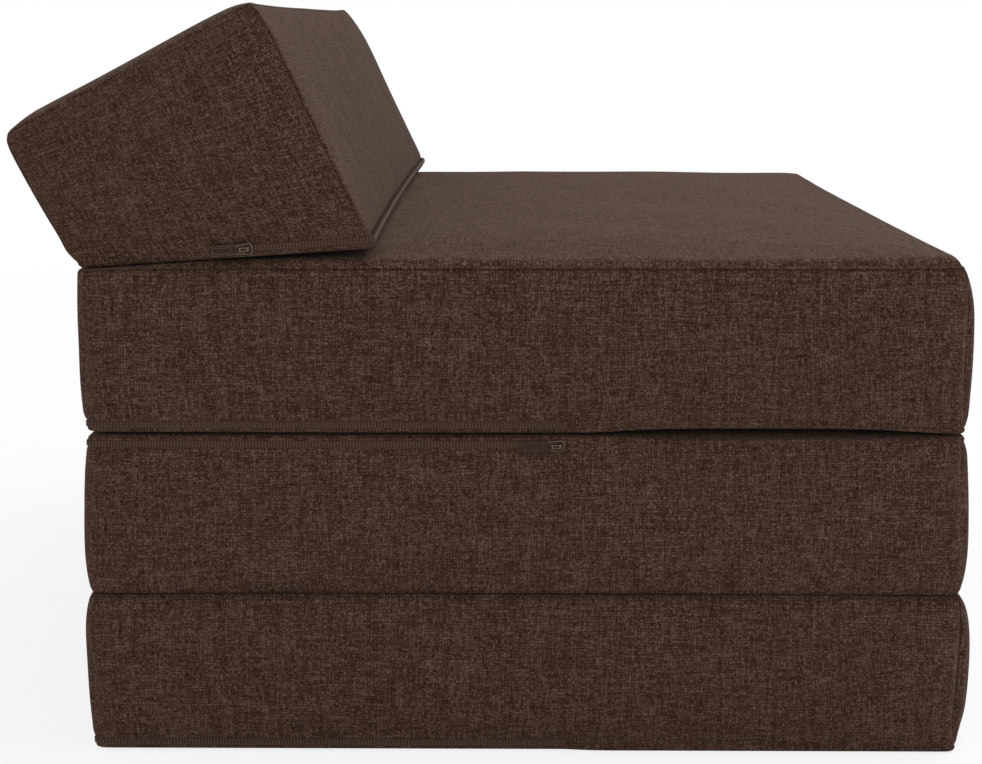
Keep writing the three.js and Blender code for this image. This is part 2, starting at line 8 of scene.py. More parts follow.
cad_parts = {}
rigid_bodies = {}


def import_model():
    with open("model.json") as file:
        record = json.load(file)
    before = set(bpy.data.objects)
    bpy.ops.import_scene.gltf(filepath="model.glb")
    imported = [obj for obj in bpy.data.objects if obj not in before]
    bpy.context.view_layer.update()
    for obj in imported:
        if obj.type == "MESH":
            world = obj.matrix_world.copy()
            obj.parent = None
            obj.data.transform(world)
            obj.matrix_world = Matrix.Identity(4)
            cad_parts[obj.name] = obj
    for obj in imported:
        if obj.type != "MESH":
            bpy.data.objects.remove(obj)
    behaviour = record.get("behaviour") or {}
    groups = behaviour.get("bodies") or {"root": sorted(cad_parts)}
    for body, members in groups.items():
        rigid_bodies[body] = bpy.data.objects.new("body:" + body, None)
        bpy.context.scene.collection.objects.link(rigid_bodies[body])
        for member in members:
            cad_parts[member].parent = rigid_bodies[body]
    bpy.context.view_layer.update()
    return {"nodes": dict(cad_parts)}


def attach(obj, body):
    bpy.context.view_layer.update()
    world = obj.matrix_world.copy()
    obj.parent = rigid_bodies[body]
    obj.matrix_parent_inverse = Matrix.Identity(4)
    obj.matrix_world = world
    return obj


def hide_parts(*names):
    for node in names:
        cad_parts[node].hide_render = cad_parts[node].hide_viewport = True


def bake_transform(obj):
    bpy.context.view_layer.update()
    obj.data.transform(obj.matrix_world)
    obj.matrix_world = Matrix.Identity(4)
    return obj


for extra in list(bpy.data.objects):
    bpy.data.objects.remove(extra)
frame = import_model()
print("frame loaded")


# Small helpers for node trees
def addNode(tree, kind, **settings):
    made = tree.nodes.new(kind)
    for name, value in settings.items():
        setattr(made, name, value)
    return made


def plug(tree, source, target):
    if hasattr(source, "links"):
        tree.links.new(source, target)
    else:
        target.default_value = source


def calc(tree, operation, *values, clamp=False):
    made = addNode(tree, "ShaderNodeMath", operation=operation, use_clamp=clamp)
    for value, socket in zip(values, made.inputs):
        plug(tree, value, socket)
    return made.outputs[0]


def mixColors(tree, factor, first, second):
    made = addNode(tree, "ShaderNodeMix", data_type="RGBA")
    plug(tree, factor, made.inputs[0])
    plug(tree, first, made.inputs[6])
    plug(tree, second, made.inputs[7])
    return made.outputs[2]


def noiseAt(tree, vector, scale, detail=2.0, roughness=0.5):
    made = addNode(tree, "ShaderNodeTexNoise")
    plug(tree, vector, made.inputs["Vector"])
    made.inputs["Scale"].default_value = scale
    made.inputs["Detail"].default_value = detail
    made.inputs["Roughness"].default_value = roughness
    return made.outputs["Fac"]


def combine(tree, x, y, z=0.0):
    made = addNode(tree, "ShaderNodeCombineXYZ")
    for value, socket in zip((x, y, z), made.inputs):
        plug(tree, value, socket)
    return made.outputs[0]


def mapRange(tree, value, fromLow, fromHigh, toLow=0.0, toHigh=1.0):
    made = addNode(tree, "ShaderNodeMapRange")
    plug(tree, value, made.inputs[0])
    for socket, limit in zip(made.inputs[1:5], (fromLow, fromHigh, toLow, toHigh)):
        socket.default_value = limit
    return made.outputs[0]


def addBump(tree, shader, height, strength, distance):
    bump = addNode(tree, "ShaderNodeBump")
    bump.inputs["Strength"].default_value = strength
    bump.inputs["Distance"].default_value = distance
    plug(tree, height, bump.inputs["Height"])
    plug(tree, bump.outputs[0], shader.inputs["Normal"])


def newMaterial(name):
    material = bpy.data.materials.new(name)
    material.use_nodes = True
    tree = material.node_tree
    return material, tree, tree.nodes["Principled BSDF"]


def tinted(color, share):
    return tuple(share * c for c in color[:3]) + (1.0,)


def newGroup(name, inputs, outputs):
    tree = bpy.data.node_groups.new(name, "ShaderNodeTree")
    for kind, label in inputs:
        tree.interface.new_socket(name=label, in_out="INPUT", socket_type=kind)
    for kind, label in outputs:
        tree.interface.new_socket(name=label, in_out="OUTPUT", socket_type=kind)
    return tree, tree.nodes.new("NodeGroupInput").outputs, tree.nodes.new("NodeGroupOutput").inputs


def addObject(name, data):
    made = bpy.data.objects.new(name, data)
    bpy.context.scene.collection.objects.link(made)
    return made


def meshFrom(bm, name, *materials):
    mesh = bpy.data.meshes.new(name)
    bm.to_mesh(mesh)
    bm.free()
    for material in materials:
        mesh.materials.append(material)
    return mesh


weaveLook = {
    "wanderScale": 120.0,
    "wander": 2.2,              # how far a yarn drifts, in yarns
    "sharpness": 2.2,           # how sharply the warp and the weft change places
    "slub": (1.37, 0.1),        # from yarn to yarn, and along a yarn
    "fibre": (1600, 400),       # across and along the fibres, per metre
    "streak": (1000, 60),
    "patch": 60.0,
    "parts": {                  # each part's middle, and its weight in the tone
        "slub": (0.5, 0.7),
        "crossing": (0.5, 0.1),
        "fibre": (0.5, 1.6),
        "patch": (0.5, 0.12),
        # the yarns' crowns and the gaps between them carry painted shade
        "ridgeAndShade": (0.75, 0.12),
        "yarnGapShade": (0.4, 0.1),
        "streak": (1.0, 0.4),
    },
    "darkToMiddle": (0.2, 0.5),
    "middleToLight": (0.5, 0.85),
    "fibreHeight": 0.5,
    "roughness": (0.12, 0.86),
}


# A plain weave of melange yarns, laid out in the flat cloth's own metres
def buildWeaveGroup():
    tree, given, out = newGroup(
        "melangeWeave",
        [("NodeSocketVector", "Cloth"), ("NodeSocketFloat", "Yarns per metre"),
         ("NodeSocketColor", "Dark"), ("NodeSocketColor", "Middle"), ("NodeSocketColor", "Light")],
        [("NodeSocketColor", "Color"), ("NodeSocketFloat", "Height"), ("NodeSocketFloat", "Roughness")],
    )
    cloth = given["Cloth"]
    wander = addNode(tree, "ShaderNodeTexNoise")
    wander.inputs["Scale"].default_value = weaveLook["wanderScale"]
    wander.inputs["Detail"].default_value = 2.0
    plug(tree, cloth, wander.inputs["Vector"])
    split = addNode(tree, "ShaderNodeSeparateXYZ")
    plug(tree, cloth, split.inputs[0])
    drift = addNode(tree, "ShaderNodeSeparateXYZ")
    plug(tree, wander.outputs["Color"], drift.inputs[0])
    x, y = split.outputs[0], split.outputs[1]
    perMetre = given["Yarns per metre"]
    across, along = (
        calc(tree, "MULTIPLY_ADD", sway, weaveLook["wander"], calc(tree, "MULTIPLY", way, perMetre))
        for sway, way in ((drift.outputs[0], x), (drift.outputs[1], y)))
    waveAcross = calc(tree, "SINE", calc(tree, "MULTIPLY", across, math.pi))
    waveAlong = calc(tree, "SINE", calc(tree, "MULTIPLY", along, math.pi))
    both = calc(tree, "MULTIPLY", waveAcross, waveAlong)
    warpOver = calc(tree, "MULTIPLY_ADD", both, weaveLook["sharpness"], 0.5, clamp=True)

    def onTop(warp, weft):
        made = addNode(tree, "ShaderNodeMix", data_type="FLOAT")
        plug(tree, warpOver, made.inputs[0])
        plug(tree, weft, made.inputs[2])
        plug(tree, warp, made.inputs[3])
        return made.outputs[0]

    # Noise drawn out along the yarns. The seeds keep the noises apart.
    def stretched(u, v, scaleU, scaleV, seed, detail):
        place = combine(tree, calc(tree, "MULTIPLY", u, scaleU), calc(tree, "MULTIPLY", v, scaleV), seed)
        return noiseAt(tree, place, 1.0, detail, 0.6)

    warpNumber, weftNumber = calc(tree, "FLOOR", across), calc(tree, "FLOOR", along)
    warpSlub = stretched(warpNumber, along, *weaveLook["slub"], 3.7, 3.0)
    weftSlub = stretched(weftNumber, across, *weaveLook["slub"], 9.1, 3.0)
    slub = onTop(warpSlub, weftSlub)
    fine, coarse = weaveLook["fibre"]
    fibre = onTop(stretched(x, y, fine, coarse, 1.5, 1.5), stretched(x, y, coarse, fine, 6.5, 1.5))
    crossing = addNode(tree, "ShaderNodeTexWhiteNoise", noise_dimensions="2D")
    plug(tree, combine(tree, warpNumber, weftNumber), crossing.inputs["Vector"])
    # The yarns' rounded crowns: the relief's height, and painted shade across each yarn in the colour
    ridgeAndShade = onTop(calc(tree, "ABSOLUTE", waveAcross), calc(tree, "ABSOLUTE", waveAlong))
    ridgeAndShade = calc(tree, "POWER", ridgeAndShade, 0.5)
    # Painted shade in the gaps between the yarns
    yarnGapShade = calc(tree, "ABSOLUTE", calc(tree, "MULTIPLY", waveAcross, waveAlong))
    fine, coarse = weaveLook["streak"]
    streak = calc(
        tree, "ADD", stretched(x, y, fine, coarse, 2.5, 1.0), stretched(x, y, coarse, fine, 8.5, 1.0))
    patch = noiseAt(tree, cloth, weaveLook["patch"], 3.0, 0.6)

    parts = {
        "slub": slub, "crossing": crossing.outputs["Value"], "fibre": fibre, "patch": patch, "ridgeAndShade": ridgeAndShade,
        "yarnGapShade": yarnGapShade, "streak": streak}
    level = 0.5
    for part, (middle, weight) in weaveLook["parts"].items():
        level = calc(tree, "MULTIPLY_ADD", calc(tree, "SUBTRACT", parts[part], middle), weight, level)

    lower = mapRange(tree, level, *weaveLook["darkToMiddle"])
    upper = mapRange(tree, level, *weaveLook["middleToLight"])
    shade = mixColors(tree, lower, given["Dark"], given["Middle"])
    shade = mixColors(tree, upper, shade, given["Light"])
    plug(tree, shade, out["Color"])
    plug(tree, calc(tree, "MULTIPLY_ADD", fibre, weaveLook["fibreHeight"], ridgeAndShade), out["Height"])
    plug(tree, calc(tree, "MULTIPLY_ADD", fibre, *weaveLook["roughness"]), out["Roughness"])
    return tree


weaveGroup = buildWeaveGroup()

coverFinish = {
    "yarnsPerMetre": 500.0,
    "dark": (0.0215, 0.0085, 0.0048, 1.0),
    "middle": (0.052, 0.0255, 0.0165, 1.0),
    "light": (0.118, 0.0765, 0.057, 1.0),
    "seamShadeTone": 0.25,           # the dark tone's share that is painted into a seam as shade
    "seamShade": 0.8,
    "specular": 0.08,
    "sheen": 0.06,
    "sheenRoughness": 0.42,
    "sheenTint": (1.0, 0.8, 0.68, 1.0),
    "relief": 0.8,
    "reliefHeight": 0.0005,
}


def coverMaterial(name, finish):
    material, tree, shader = newMaterial(name)
    cloth = addNode(tree, "ShaderNodeUVMap", uv_map="cloth")
    weave = addNode(tree, "ShaderNodeGroup", node_tree=weaveGroup)
    plug(tree, cloth.outputs[0], weave.inputs["Cloth"])
    weave.inputs["Yarns per metre"].default_value = finish["yarnsPerMetre"]
    for tone in ("Dark", "Middle", "Light"):
        weave.inputs[tone].default_value = finish[tone.lower()]
    # Painted shade: the seams and the upright corner seams are darkened in the base colour, as the shade in
    # their creases
    sewn = addNode(tree, "ShaderNodeAttribute", attribute_name="sewn")
    shaded = tinted(finish["dark"], finish["seamShadeTone"])
    inSeam = calc(tree, "MULTIPLY", sewn.outputs["Fac"], finish["seamShade"])
    plug(tree, mixColors(tree, inSeam, weave.outputs["Color"], shaded), shader.inputs["Base Color"])
    plug(tree, weave.outputs["Roughness"], shader.inputs["Roughness"])
    addBump(tree, shader, weave.outputs["Height"], finish["relief"], finish["reliefHeight"])
    shader.inputs["Specular IOR Level"].default_value = finish["specular"]
    shader.inputs["Sheen Weight"].default_value = finish["sheen"]
    shader.inputs["Sheen Roughness"].default_value = finish["sheenRoughness"]
    shader.inputs["Sheen Tint"].default_value = finish["sheenTint"]
    return material


wovenCover = coverMaterial("wovenCover", coverFinish)

zipFinish = {
    "tape": (0.054, 0.029, 0.0205, 1.0),
    "teeth": (0.122, 0.073, 0.054, 1.0),
    "metalDark": (0.026, 0.0132, 0.009, 1.0),
    "metalLight": (0.038, 0.0215, 0.0155, 1.0),
    # the painted highlight on the sliders' and pull tabs' rounded edges
    "metalEdgeHighlight": (0.25, 0.168, 0.13, 1.0),
    "ribsPerMetre": 1100,
    "ribShade": 0.16,
    "tapeGrain": 900.0,
    "tapeTones": (0.7, 1.4),    # its darkest and its brightest share of the tape's colour
    "toothShade": 0.6,
}


# Ribs of the zip's tape run across it, on the band's own metres: a bump, and painted shade across each rib
# in the colour
def tapeMaterial():
    material, tree, shader = newMaterial("zipTape")
    cloth = addNode(tree, "ShaderNodeUVMap", uv_map="cloth")
    split = addNode(tree, "ShaderNodeSeparateXYZ")
    plug(tree, cloth.outputs[0], split.inputs[0])
    turns = 2 * math.pi * zipFinish["ribsPerMetre"]
    ribAndShade = calc(tree, "SINE", calc(tree, "MULTIPLY", split.outputs[0], turns))
    grain = noiseAt(tree, cloth.outputs[0], zipFinish["tapeGrain"])
    # Painted shade across the ribs, mixed with the tape's grain
    tone = calc(tree, "MULTIPLY_ADD", ribAndShade, zipFinish["ribShade"], grain)
    shade, bright = (tinted(zipFinish["tape"], share) for share in zipFinish["tapeTones"])
    plug(tree, mixColors(tree, tone, shade, bright), shader.inputs["Base Color"])
    addBump(tree, shader, ribAndShade, 0.4, 0.0002)
    shader.inputs["Roughness"].default_value = 0.85
    shader.inputs["Specular IOR Level"].default_value = 0.1
    return material


# Nylon coil and lacquered metal: a tone that varies a little, on Object coordinates, and a painted
# highlight on the rounded edges
def grainyMaterial(name, dark, light, scale, roughness, specular):
    material, tree, shader = newMaterial(name)
    place = addNode(tree, "ShaderNodeTexCoord")
    grain = noiseAt(tree, place.outputs["Object"], scale, 3.0)
    highlighted = addNode(tree, "ShaderNodeAttribute", attribute_name="edgeHighlight")
    shade = mixColors(tree, grain, dark, light)
    shade = mixColors(tree, highlighted.outputs["Fac"], shade, zipFinish["metalEdgeHighlight"])
    plug(tree, shade, shader.inputs["Base Color"])
    shader.inputs["Specular IOR Level"].default_value = specular
    wear = mapRange(tree, grain, 0.0, 1.0, roughness - 0.08, roughness + 0.12)
    plug(tree, wear, shader.inputs["Roughness"])
    addBump(tree, shader, grain, 0.12, 0.0002)
    return material


zipTape = tapeMaterial()
zipTeeth = grainyMaterial(
    "zipTeeth", tinted(zipFinish["teeth"], zipFinish["toothShade"]), zipFinish["teeth"], 900.0, 0.5, 0.2)
sliderLacquer = grainyMaterial(
    "sliderLacquer", zipFinish["metalDark"], zipFinish["metalLight"], 300.0, 0.6, 0.08)
print("materials ready")


# What the four cushions share
cutting = {
    "halfWidth": 0.394,         # seam to seam, across the bed
    "drawIn": 0.0025,           # how far a seam is pulled in at its middle
    "drawInFade": 0.05,
    "hemHeight": 0.0037,        # the zipped panel's hem, turned up at the side
    "rimLift": 0.0006,          # how far the rims of two panels that touch stand apart
    "rimFade": 0.03,
    "seamHalf": 0.0009,         # half the width of a sewn groove
    "cornerGroove": 0.0013,
    "hemRest": 0.3,             # the hem's share that is left away from the zip
    "hemFade": 0.02,
    "runFade": 0.02,
    "rimSink": 0.0009,          # how far the plain panel sinks to its seam
    "rimSinkRun": 0.012,
    "zipEndStep": 0.003,
    "apart": 0.004,             # no other line of the mesh comes nearer to the zip's end
    "step": 0.0125,             # size of the mesh
    "frames": 20,
}

# Settings of the cloth simulation
puffing = {
    "quality": 5,
    "mass": 0.3,
    "tension_stiffness": 25,
    "compression_stiffness": 25,
    "shear_stiffness": 8,
    "bending_stiffness": 1.5,
    "use_pressure": True,
    "uniform_pressure_force": 4.0,
    "vertex_group_mass": "sewn",
}

# How a filled cushion settles
settling = {
    "ease": 2.4,                # how soon the puff reaches its cap
    "edgeCalmRun": 0.03,
    "rollRun": 0.016,
    "crown": (9, 0.0018, 0.03),     # waves of a free top: per metre, height, and run of their fade
    "bulge": 0.85,              # share of the cap that the rounded side fills
    "gapRise": 0.035,           # height up to which a lifted rim moves the side
    "footRuns": (0.025, 0.055),     # how far the soft foot reaches in, and up
    "rightSide": (0.2, 0.08),       # where the right rim's roundness begins, and its run
    "ripple": (17, 0.0014),
    "pucker": (55, 14, 0.0007),     # round the side and up it per metre, and height
}

# Levels of a side: heights over the zipped panel, shares of what lies between,
# and depths under the plain panel
seamDepth = 0.0024
footLevels = [0.0, 0.0012, 0.0026, 0.0037, 0.0042, 0.0065, 0.0088, 0.0094, 0.0130]
middleShares = [0.12, 0.24, 0.37, 0.5, 0.63, 0.76, 0.88]
headLevels = [0.0110, 0.0055, 0.0033, seamDepth, 0.0015, 0.0]
lipLevel = len(footLevels) - 2      # the strip's lip over the zip
seamLevel = len(footLevels) + len(middleShares) + headLevels.index(seamDepth)
tapeLevels = (4, 5, 6)
hemLevel = 3                    # top of the hem

# How far each foot level stands out, beside the zip and away from it
zippedProud = [0, 0, 0, 0, -0.0005, -0.0005, -0.0005, 0.0006, 0.0012]
plainProud = [0, 0, 0, 0, -0.0009, 0.0005, 0.001, 0.0012, 0.0015]

sectionShape = {
    "base": (-0.294, 0.294),
    "top": (-0.294, 0.294),
    "topHeights": (0.1097, 0.1097),
    "zipSide": -1,
    "zipEnd": 0.026,
    "caps": {"side": 0.006, "zipped": 0.006, "plain": 0.006, "top": 0.0},
    "corner": 0.007,            # radius of the upright corners
    "hemRun": 0.0045,           # how far the zipped panel's edge lies inside its hem
    "edgeCalm": 1.0,            # the share of the puff that is left beside an upright corner
    "rollRun": 0.0022,          # how far the plain panel's edge lies inside its seam
    "roll": 0.0,
    "softRim": (0.0008, 0.0008),    # how far the plain rim is rounded in, at the left and the right
    "rimRise": 0.0009,
    "rimRun": 0.018,
    "calm": 0.0001,
    "softFoot": 0.0,
    "seamGroove": 0.0007,       # how deep the plain panel's seam lies
    "seamShade": 0.4,
    "cornerShade": 1.0,
    "seamedCorners": (1,),
    "rimGap": (0.0, 0.0, 1.0),
}

wedgeAngle = 0.4101
wedgeThin, wedgeTop = 0.102, 0.192      # its thin end, and the panel that faces up
wedgeLow = (-wedgeThin * math.sin(wedgeAngle), wedgeThin * math.cos(wedgeAngle))
wedgeShape = {
    "base": (0.0, 0.2001),
    "top": (wedgeLow[0], wedgeLow[0] + wedgeTop * math.cos(wedgeAngle)),
    "topHeights": (wedgeLow[1], wedgeLow[1] + wedgeTop * math.sin(wedgeAngle)),
    "zipSide": 1,
    "zipEnd": 0.109,
    "caps": {"side": 0.0055, "zipped": 0.0022, "plain": 0.0008, "top": 0.003},
    "corner": 0.005,
    "hemRun": 0.0028,
    "edgeCalm": 0.3,
    "rollRun": 0.0003,
    "roll": 0.0015,
    "softRim": (0.004, 0.004),
    "rimRise": -0.004,
    "rimRun": 0.018,
    "calm": 0.03,               # how far below the plain rim the cover is fully puffed
    "softFoot": 0.004,          # how far the plain end draws in at its foot
    "seamGroove": 0.0004,
    "seamShade": 0.4,
    "cornerShade": 1.0,
    "seamedCorners": (-1, 1),
    "rimGap": (0.0, 0.0, 1.0),
}

# The bottom section stands out further at its right end. No corner seam shows on the middle one.
lowerShape = {**sectionShape, "caps": {**sectionShape["caps"], "plain": 0.0095}}
middleShape = {**sectionShape, "rimGap": (0.002, 0.16, 0.1), "seamedCorners": (), "cornerShade": 0.0}

# On the seat the cover's top rolls over its edge, and its front rim stands off a little on the right
seatShape = {
    **sectionShape,
    "caps": {**sectionShape["caps"], "top": 0.0085},
    "roll": 0.008,
    "softRim": (-0.003, 0.0035),
    "rimRise": 0.0045,
    "rimRun": 0.026,
    "seamGroove": 0.0009,
    "seamShade": 0.8,
    "cornerShade": 0.45,
    "rimGap": (0.0045, 0.16, 0.1),
}

wedgeTilt = math.radians(4)                 # the headrest's lean on the seat's crown
wedgeX = -0.299
wedgeCorner = Vector((wedgeX, 0, 0.3303))


# Fades from 1 at a rim to 0 at the given run
def fading(distance, run):
    return max(0.0, 1 - distance / run)


# A place on the plan with its upright corners rounded, and the way out of the side there
def roundedPlan(x, y, halfX, halfY, r):
    u = max(0.0, (abs(x) - halfX + r) / r)
    v = max(0.0, (abs(y) - halfY + r) / r)
    signX = math.copysign(1, x)
    signY = math.copysign(1, y)
    if u > 0 and v > 0:
        px = u * math.sqrt(1 - v * v / 2)
        py = v * math.sqrt(1 - u * u / 2)
        out = Vector((px * signX, py * signY)).normalized()
        return signX * (halfX - r + r * px), signY * (halfY - r + r * py), out
    out = Vector((signX if u > 0 else 0, signY if v > 0 else 0))
    return x, y, out


# How far the seams are pulled in at a place of the plan. The zipped seam stays straight along the sides.
def pulledIn(shape, u, v, share):
    length = shape["base"][1] - shape["base"][0]
    bowEnd = (1 - v * v) * fading((1 - abs(u)) * length / 2, cutting["drawInFade"])
    bowSide = (1 - u * u) * fading((1 - abs(v)) * cutting["halfWidth"], cutting["drawInFade"])
    d = cutting["drawIn"]
    return Vector((-math.copysign(d * bowEnd, u), -math.copysign(d * bowSide * share, v)))


# The hem is folded in beside the zip, and nearly straight elsewhere
def hemShare(shape, x):
    low, high = shape["base"]
    along = ((low + high) / 2 + x - shape["zipEnd"]) * shape["zipSide"]
    rest, fade = cutting["hemRest"], cutting["hemFade"]
    return rest + (1 - rest) * min(1.0, max(0.0, (along + fade) / fade))


# Edges run in under a panel's rim: the hem turns up, and the plain panel rolls down
def runIn(distance, run, fade):
    return distance + run * fading(distance, fade) ** 1.5


# A cushion's pattern: a box of whole steps, whose lists give each step's real place
def patternOf(shape):
    low, high = shape["base"]
    middle, half = (low + high) / 2, (high - low) / 2
    tight, corner = cutting["seamHalf"], shape["corner"]

    def spread(reach, extra=()):
        edge = [reach, reach - tight, reach - corner / 2, reach - corner]
        inner = reach - corner
        count = max(4, round(2 * inner / cutting["step"]))
        places = [-inner + 2 * inner * i / count for i in range(1, count)]
        places = [p for p in places if all(abs(p - e) > cutting["apart"] for e in extra)]
        return sorted(places + edge + [-e for e in edge] + list(extra))

    zipEnd, near = shape["zipEnd"] - middle, cutting["zipEndStep"]
    xs = spread(half, (zipEnd - near, zipEnd, zipEnd + near))
    ys = spread(cutting["halfWidth"])
    return xs, ys, half


def levelHeight(level, full, slant):
    foot = len(footLevels)
    last = foot + len(middleShares)
    if level < foot:
        return footLevels[level]
    if level >= last:
        return full * (1 - headLevels[level - last] / slant)
    top = full * (1 - headLevels[0] / slant)
    return footLevels[-1] + (top - footLevels[-1]) * middleShares[level - foot]


# Where a vertex of the pattern lies before the cushion is filled, in the cushion's own frame
def sewnPlace(shape, x, y, level, onFoot, onHead):
    low, high = shape["base"]
    topLow, topHigh = shape["top"]
    middle, half = (low + high) / 2, (high - low) / 2
    topMiddle, topHalf = (topLow + topHigh) / 2, (topHigh - topLow) / 2
    halfWidth = cutting["halfWidth"]
    slope = (shape["topHeights"][1] - shape["topHeights"][0]) / (topHigh - topLow)
    u, v = x / half, y / halfWidth
    bx, by, out = roundedPlan(x, y, half, halfWidth, shape["corner"])
    tx, ty, _ = roundedPlan(u * topHalf, y, topHalf, halfWidth, shape["corner"])
    foot = Vector((bx + middle, by, 0))
    head = Vector((tx + topMiddle, ty, shape["topHeights"][0] + slope * (tx + topMiddle - topLow)))
    edge = head - foot
    zipped = (x + middle - shape["zipEnd"]) * shape["zipSide"] >= -1e-6
    proud = 0.0
    if onFoot or onHead:
        share = 0.0 if onFoot else 1.0
        run = shape["hemRun"] * hemShare(shape, x) if onFoot else shape["rollRun"]
        inX, inY = half - abs(x), halfWidth - abs(y)
        moveX = runIn(inX, run, cutting["runFade"]) - inX
        moveY = runIn(inY, run, cutting["runFade"]) - inY
        shift = Vector((-math.copysign(moveX, x), -math.copysign(moveY, y), 0))
        shift.z = -math.copysign(moveX, x) * slope * share
        height = 0.0 if onFoot else edge.z
        if onHead:
            shift.z -= cutting["rimSink"] * fading(min(inX, inY), cutting["rimSinkRun"]) ** 2
    else:
        height = levelHeight(level, edge.z, edge.length)
        share = height / edge.z
        turn = fading(height, cutting["hemHeight"])
        inset = shape["hemRun"] * hemShare(shape, x) * (1 - math.sqrt(max(0.0, 1 - turn * turn)))
        if level < len(footLevels):
            proud = (zippedProud if zipped else plainProud)[level]
        shift = Vector((out.x, out.y, out.x * slope * share)) * (proud - inset)
    place = foot + edge * (height / edge.z) + shift
    pull = pulledIn(shape, u, v, share)
    place += Vector((pull.x, pull.y, pull.x * slope * share))
    return place, out, zipped, share


def inCornerSeam(f, shape):
    return f["corner"] in shape["seamedCorners"] and lipLevel < f["level"] < seamLevel


# Each panel's offsets on the cloth, so that no two panels show the same yarns
clothOffsets = {"ends": 0.61, "sides": 0.27, "panels": 0.13, "axis": 0.4, "opposite": 1.7}


def cutCushion(name, shape):
    xs, ys, half = patternOf(shape)
    levels = len(footLevels) + len(middleShares) + len(headLevels)
    nx, ny, nz = len(xs) - 1, len(ys) - 1, levels - 1
    bm = bmesh.new()
    bmesh.ops.create_cube(bm, size=1.0)
    bmesh.ops.translate(bm, vec=(0.5, 0.5, 0.5), verts=bm.verts)
    bmesh.ops.scale(bm, vec=(nx, ny, nz), verts=bm.verts)
    for axis, count in enumerate((nx, ny, nz)):
        run = [e for e in bm.edges if abs((e.verts[0].co - e.verts[1].co)[axis]) > 0.5]
        bmesh.ops.subdivide_edges(bm, edges=run, cuts=count - 1, use_grid_fill=True)
    bm.verts.ensure_lookup_table()
    facts = []
    cloth = bm.loops.layers.uv.new("cloth")
    steps = {v: tuple(round(c) for c in v.co) for v in bm.verts}
    flatHeight = shape["topHeights"][1]
    for face in bm.faces:
        axis = max(range(3), key=lambda a: abs(face.normal[a]))
        for loop in face.loops:
            i, j, k = steps[loop.vert]
            tall = levelHeight(k, flatHeight, flatHeight)
            at = (
                (ys[j] + clothOffsets["ends"], tall), (xs[i] + clothOffsets["sides"], tall),
                (xs[i], ys[j] + clothOffsets["panels"]))[axis]
            side = clothOffsets["opposite"] if face.normal[axis] > 0 else 0.0
            loop[cloth].uv = (at[0] + side + clothOffsets["axis"] * axis, at[1])
    for v in bm.verts:
        i, j, k = steps[v]
        onSide = i in (0, nx) or j in (0, ny)
        onFoot = k == 0
        onHead = k == nz
        place, out, zipped, share = sewnPlace(shape, xs[i], ys[j], k, onFoot, onHead)
        facts.append({
            "inX": half - abs(xs[i]),
            "inY": cutting["halfWidth"] - abs(ys[j]),
            "level": k,
            "share": share,
            "out": out,
            "zipped": zipped,
            "onSide": onSide,
            "onFoot": onFoot,
            "onHead": onHead,
            "corner": math.copysign(1, xs[i]) if i in (0, nx) and j in (0, ny) else 0,
            "plain": (1 - hemShare(shape, xs[i])) / (1 - cutting["hemRest"]),
        })
        v.co = place
    # Marks of the seams, which also carry the painted shade of the seams
    sewn = bm.verts.layers.float.new("sewn")
    for v, f in zip(bm.verts, facts):
        v[sewn] = 1.0 if (f["onSide"] and f["level"] == seamLevel) or inCornerSeam(f, shape) else 0.0
    for face in bm.faces:
        at = [facts[v.index] for v in face.verts]
        inZip = all(f["zipped"] and f["onSide"] and f["level"] in tapeLevels for f in at)
        face.material_index = 1 if inZip else 0
        face.smooth = True
    bmesh.ops.recalc_face_normals(bm, faces=bm.faces)
    return addObject(name, meshFrom(bm, name, wovenCover, zipTape)), facts


# The filling pushes the cover out between its sewn lines
def fillCushion(cushion, facts, shape):
    rest = [v.co.copy() for v in cushion.data.vertices]
    freeTop = shape["caps"]["top"] > 0
    held = []
    for i, f in enumerate(facts):
        if f["level"] <= lipLevel or abs(f["level"] - seamLevel) <= 1 or (f["onHead"] and not freeTop):
            held.append(i)
    group = cushion.vertex_groups.new(name="sewn")
    group.add(held, 1.0, "REPLACE")
    puff = cushion.modifiers.new("puff", "CLOTH")
    for setting, value in puffing.items():
        setattr(puff.settings, setting, value)
    puff.settings.effector_weights.gravity = 0
    puff.point_cache.frame_start = 1
    puff.point_cache.frame_end = cutting["frames"]
    scene = bpy.context.scene
    for step in range(1, cutting["frames"] + 1):
        scene.frame_set(step)
    graph = bpy.context.evaluated_depsgraph_get()
    filled = [v.co.copy() for v in cushion.evaluated_get(graph).data.vertices]
    cushion.modifiers.remove(puff)
    cushion.vertex_groups.remove(group)
    scene.frame_set(1)
    return rest, filled


# A quarter of an ellipse, from the rim inwards
def rolled(distance, run):
    return math.sqrt(max(0.0, 1 - fading(distance, run) ** 2))


